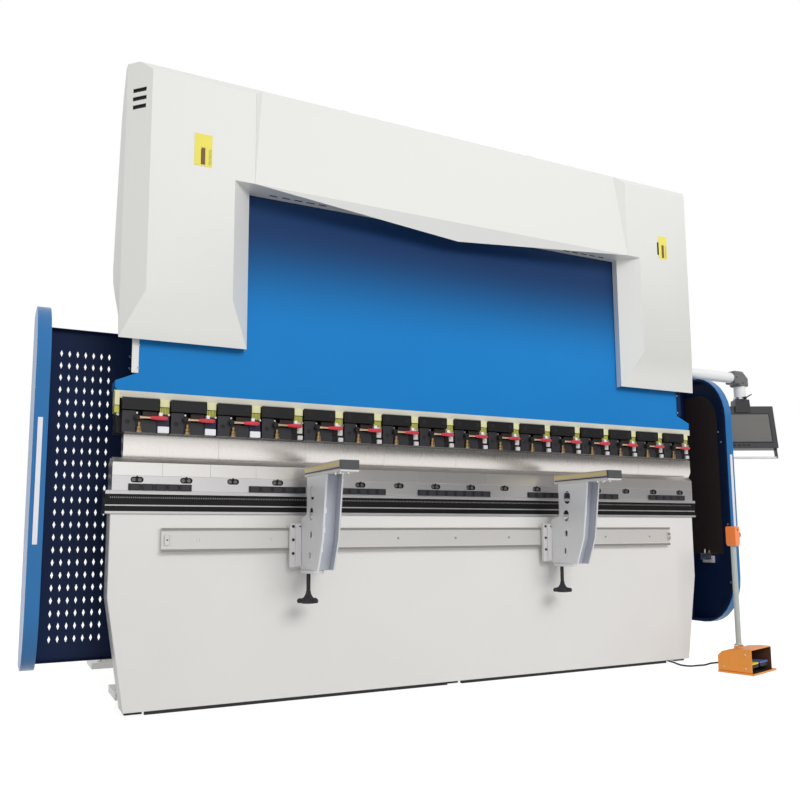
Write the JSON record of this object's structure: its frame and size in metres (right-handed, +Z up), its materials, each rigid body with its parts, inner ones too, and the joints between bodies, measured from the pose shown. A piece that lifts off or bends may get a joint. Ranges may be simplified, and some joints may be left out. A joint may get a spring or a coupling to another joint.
{
  "type": "press brake",
  "caption": "Hydraulic press brake: blue ram with quick-clamped punch over a vee die on a bed, folded column covers, swing-out side guards, sheet supports, pendant control and foot pedal.",
  "frame": {"origin": "on the floor under the middle of the bending line, on the underside of the bed's middle pad", "axes": "+X along the bending line to the operator's right, +Y to the rear of the machine, +Z up"},
  "size_m": [4.388, 1.9999, 2.726],
  "materials": {
    "cover_paint": "satin off-white paint",
    "blue_paint": "satin blue paint",
    "navy_paint": "satin navy paint",
    "black_steel": "black oxide",
    "ground_steel": "surface ground",
    "dark_cylinder": "dark grey enamel",
    "rod_chrome": "polished",
    "rail_aluminium": "extruded, satin",
    "support_paint": "light grey paint",
    "black_plastic": "moulded",
    "lever_red": "red over a brass-coloured shank",
    "pendant_paint": "satin light grey",
    "screen_black": "dark grey",
    "orange_paint": "satin orange",
    "pedal_yellow": "moulded",
    "pedal_blue": "moulded",
    "button_red": "moulded",
    "cord_rubber": "matt"
  },
  "bodies": {
    "machine_frame": {"side_frame_left": "cover_paint", "side_frame_right": "cover_paint", "bed_plate": "cover_paint", "crowning_table": "black_steel", "die_holder": "ground_steel", "lower_die": "ground_steel", "rear_beam": "cover_paint", "tank_deck": "cover_paint", "column_cover_left": "cover_paint", "column_cover_right": "cover_paint", "centre_cover": "cover_paint", "cylinder_left": "dark_cylinder", "cylinder_right": "dark_cylinder", "oil_tank": "blue_paint", "pump_motor": "dark_cylinder", "electrical_cabinet": "cover_paint", "support_rail": "rail_aluminium", "foot_housing": "orange_paint", "stop_post": "orange_paint", "foot_cord": "cord_rubber"},
    "ram_beam": {"ram": "blue_paint", "clamp_beam": "black_steel", "punch": "ground_steel", "piston_rod_left": "rod_chrome", "piston_rod_right": "rod_chrome"},
    "lever_01": {"clamp_lever_01": "lever_red"},
    "lever_02": {"clamp_lever_02": "lever_red"},
    "lever_03": {"clamp_lever_03": "lever_red"},
    "lever_04": {"clamp_lever_04": "lever_red"},
    "lever_05": {"clamp_lever_05": "lever_red"},
    "lever_06": {"clamp_lever_06": "lever_red"},
    "lever_07": {"clamp_lever_07": "lever_red"},
    "lever_08": {"clamp_lever_08": "lever_red"},
    "lever_09": {"clamp_lever_09": "lever_red"},
    "lever_10": {"clamp_lever_10": "lever_red"},
    "lever_11": {"clamp_lever_11": "lever_red"},
    "lever_12": {"clamp_lever_12": "lever_red"},
    "lever_13": {"clamp_lever_13": "lever_red"},
    "lever_14": {"clamp_lever_14": "lever_red"},
    "lever_15": {"clamp_lever_15": "lever_red"},
    "lever_16": {"clamp_lever_16": "lever_red"},
    "guard_left": {"guard_panel_left": "navy_paint", "guard_side_left": "blue_paint"},
    "guard_right": {"guard_panel_right": "navy_paint", "guard_side_right": "blue_paint"},
    "carriage_left": {"support_carriage_left": "support_paint"},
    "support_left": {"support_arm_left": "support_paint"},
    "knob_left": {"support_knob_left": "black_plastic"},
    "carriage_right": {"support_carriage_right": "support_paint"},
    "support_right": {"support_arm_right": "support_paint"},
    "knob_right": {"support_knob_right": "black_plastic"},
    "pendant": {"pendant_arm": "pendant_paint"},
    "control_head": {"control_head": "screen_black"},
    "pedal_left": {"pedal_left": "pedal_yellow"},
    "pedal_right": {"pedal_right": "pedal_blue"},
    "stop_button": {"stop_button": "button_red"},
    "cabinet_door": {"cabinet_door": "cover_paint"},
    "back_gauge": {"gauge_beam": "rail_aluminium"},
    "finger_left": {"gauge_finger_left": "black_steel"},
    "finger_right": {"gauge_finger_right": "black_steel"}
  },
  "joints": [
    {"name": "ram_stroke", "type": "slide", "parent": "machine_frame", "child": "ram_beam", "axis": [0, 0, 1], "range_m": [0, 0.2]},
    {"name": "lever_01_turn", "type": "hinge", "parent": "ram_beam", "child": "lever_01", "pos_m": [-1.518, -0.12, 1.188], "axis": [0, 1, 0], "range_deg": [0, 60]},
    {"name": "lever_02_turn", "type": "hinge", "parent": "ram_beam", "child": "lever_02", "pos_m": [-1.323, -0.12, 1.188], "axis": [0, 1, 0], "range_deg": [0, 60]},
    {"name": "lever_03_turn", "type": "hinge", "parent": "ram_beam", "child": "lever_03", "pos_m": [-1.128, -0.12, 1.188], "axis": [0, 1, 0], "range_deg": [0, 60]},
    {"name": "lever_04_turn", "type": "hinge", "parent": "ram_beam", "child": "lever_04", "pos_m": [-0.933, -0.12, 1.188], "axis": [0, 1, 0], "range_deg": [0, 60]},
    {"name": "lever_05_turn", "type": "hinge", "parent": "ram_beam", "child": "lever_05", "pos_m": [-0.738, -0.12, 1.188], "axis": [0, 1, 0], "range_deg": [0, 60]},
    {"name": "lever_06_turn", "type": "hinge", "parent": "ram_beam", "child": "lever_06", "pos_m": [-0.543, -0.12, 1.188], "axis": [0, 1, 0], "range_deg": [0, 60]},
    {"name": "lever_07_turn", "type": "hinge", "parent": "ram_beam", "child": "lever_07", "pos_m": [-0.348, -0.12, 1.188], "axis": [0, 1, 0], "range_deg": [0, 60]},
    {"name": "lever_08_turn", "type": "hinge", "parent": "ram_beam", "child": "lever_08", "pos_m": [-0.153, -0.12, 1.188], "axis": [0, 1, 0], "range_deg": [0, 60]},
    {"name": "lever_09_turn", "type": "hinge", "parent": "ram_beam", "child": "lever_09", "pos_m": [0.042, -0.12, 1.188], "axis": [0, 1, 0], "range_deg": [0, 60]},
    {"name": "lever_10_turn", "type": "hinge", "parent": "ram_beam", "child": "lever_10", "pos_m": [0.237, -0.12, 1.188], "axis": [0, 1, 0], "range_deg": [0, 60]},
    {"name": "lever_11_turn", "type": "hinge", "parent": "ram_beam", "child": "lever_11", "pos_m": [0.432, -0.12, 1.188], "axis": [0, 1, 0], "range_deg": [0, 60]},
    {"name": "lever_12_turn", "type": "hinge", "parent": "ram_beam", "child": "lever_12", "pos_m": [0.627, -0.12, 1.188], "axis": [0, 1, 0], "range_deg": [0, 60]},
    {"name": "lever_13_turn", "type": "hinge", "parent": "ram_beam", "child": "lever_13", "pos_m": [0.822, -0.12, 1.188], "axis": [0, 1, 0], "range_deg": [0, 60]},
    {"name": "lever_14_turn", "type": "hinge", "parent": "ram_beam", "child": "lever_14", "pos_m": [1.017, -0.12, 1.188], "axis": [0, 1, 0], "range_deg": [0, 60]},
    {"name": "lever_15_turn", "type": "hinge", "parent": "ram_beam", "child": "lever_15", "pos_m": [1.212, -0.12, 1.188], "axis": [0, 1, 0], "range_deg": [0, 60]},
    {"name": "lever_16_turn", "type": "hinge", "parent": "ram_beam", "child": "lever_16", "pos_m": [1.407, -0.12, 1.188], "axis": [0, 1, 0], "range_deg": [0, 60]},
    {"name": "guard_left_swing", "type": "hinge", "parent": "machine_frame", "child": "guard_left", "pos_m": [-1.47, 0.25, 0], "axis": [0, 0, -1], "range_deg": [0, 90]},
    {"name": "guard_right_swing", "type": "hinge", "parent": "machine_frame", "child": "guard_right", "pos_m": [1.47, 0.25, 0], "axis": [0, 0, 1], "range_deg": [0, 90]},
    {"name": "carriage_left_slide", "type": "slide", "parent": "machine_frame", "child": "carriage_left", "axis": [1, 0, 0], "range_m": [-0.5, 0.55]},
    {"name": "support_left_lift", "type": "slide", "parent": "carriage_left", "child": "support_left", "axis": [0, 0, 1], "range_m": [-0.016, 0.016]},
    {"name": "knob_left_turn", "type": "hinge", "parent": "support_left", "child": "knob_left", "pos_m": [-0.788, -0.155, 0.42], "axis": [0, 0, 1], "range_deg": [-725, 725]},
    {"name": "carriage_right_slide", "type": "slide", "parent": "machine_frame", "child": "carriage_right", "axis": [1, 0, 0], "range_m": [-0.45, 0.7]},
    {"name": "support_right_lift", "type": "slide", "parent": "carriage_right", "child": "support_right", "axis": [0, 0, 1], "range_m": [-0.016, 0.016]},
    {"name": "knob_right_turn", "type": "hinge", "parent": "support_right", "child": "knob_right", "pos_m": [0.572, -0.155, 0.42], "axis": [0, 0, 1], "range_deg": [-725, 725]},
    {"name": "pendant_swing", "type": "hinge", "parent": "machine_frame", "child": "pendant", "pos_m": [1.5, 0.2, 1.7], "axis": [0, 0, 1], "range_deg": [-20, 20]},
    {"name": "head_swivel", "type": "hinge", "parent": "pendant", "child": "control_head", "pos_m": [2.29, 0.15, 1.56], "axis": [0, 0, 1], "range_deg": [-40, 60]},
    {"name": "pedal_left_press", "type": "hinge", "parent": "machine_frame", "child": "pedal_left", "pos_m": [1.51122, -0.37694, 0.03], "axis": [0.9613, 0.2756, 0], "range_deg": [0, 8], "stiffness_Nm_per_rad": 4, "springref_deg": -14.32},
    {"name": "pedal_right_press", "type": "hinge", "parent": "machine_frame", "child": "pedal_right", "pos_m": [1.51122, -0.37694, 0.03], "axis": [0.9613, 0.2756, 0], "range_deg": [0, 8], "stiffness_Nm_per_rad": 4, "springref_deg": -14.32},
    {"name": "stop_button_press", "type": "slide", "parent": "machine_frame", "child": "stop_button", "axis": [-0.9613, -0.2756, 0], "range_m": [0, 0.004], "stiffness_N_per_m": 800, "springref_m": -0.004},
    {"name": "cabinet_door_swing", "type": "hinge", "parent": "machine_frame", "child": "cabinet_door", "pos_m": [1.722, 1.3, 1.2], "axis": [0, 0, 1], "range_deg": [0, 100]},
    {"name": "back_gauge_travel", "type": "slide", "parent": "machine_frame", "child": "back_gauge", "axis": [0, 1, 0], "range_m": [-0.23, 0.3]},
    {"name": "finger_left_slide", "type": "slide", "parent": "back_gauge", "child": "finger_left", "axis": [1, 0, 0], "range_m": [-0.55, 0.4]},
    {"name": "finger_right_slide", "type": "slide", "parent": "back_gauge", "child": "finger_right", "axis": [1, 0, 0], "range_m": [-0.4, 0.55]}
  ],
  "couplings": [
    {"joint": "knob_left_turn", "follows": "support_left_lift", "rad_per_m": 785.4},
    {"joint": "knob_right_turn", "follows": "support_right_lift", "rad_per_m": 785.4}
  ]
}
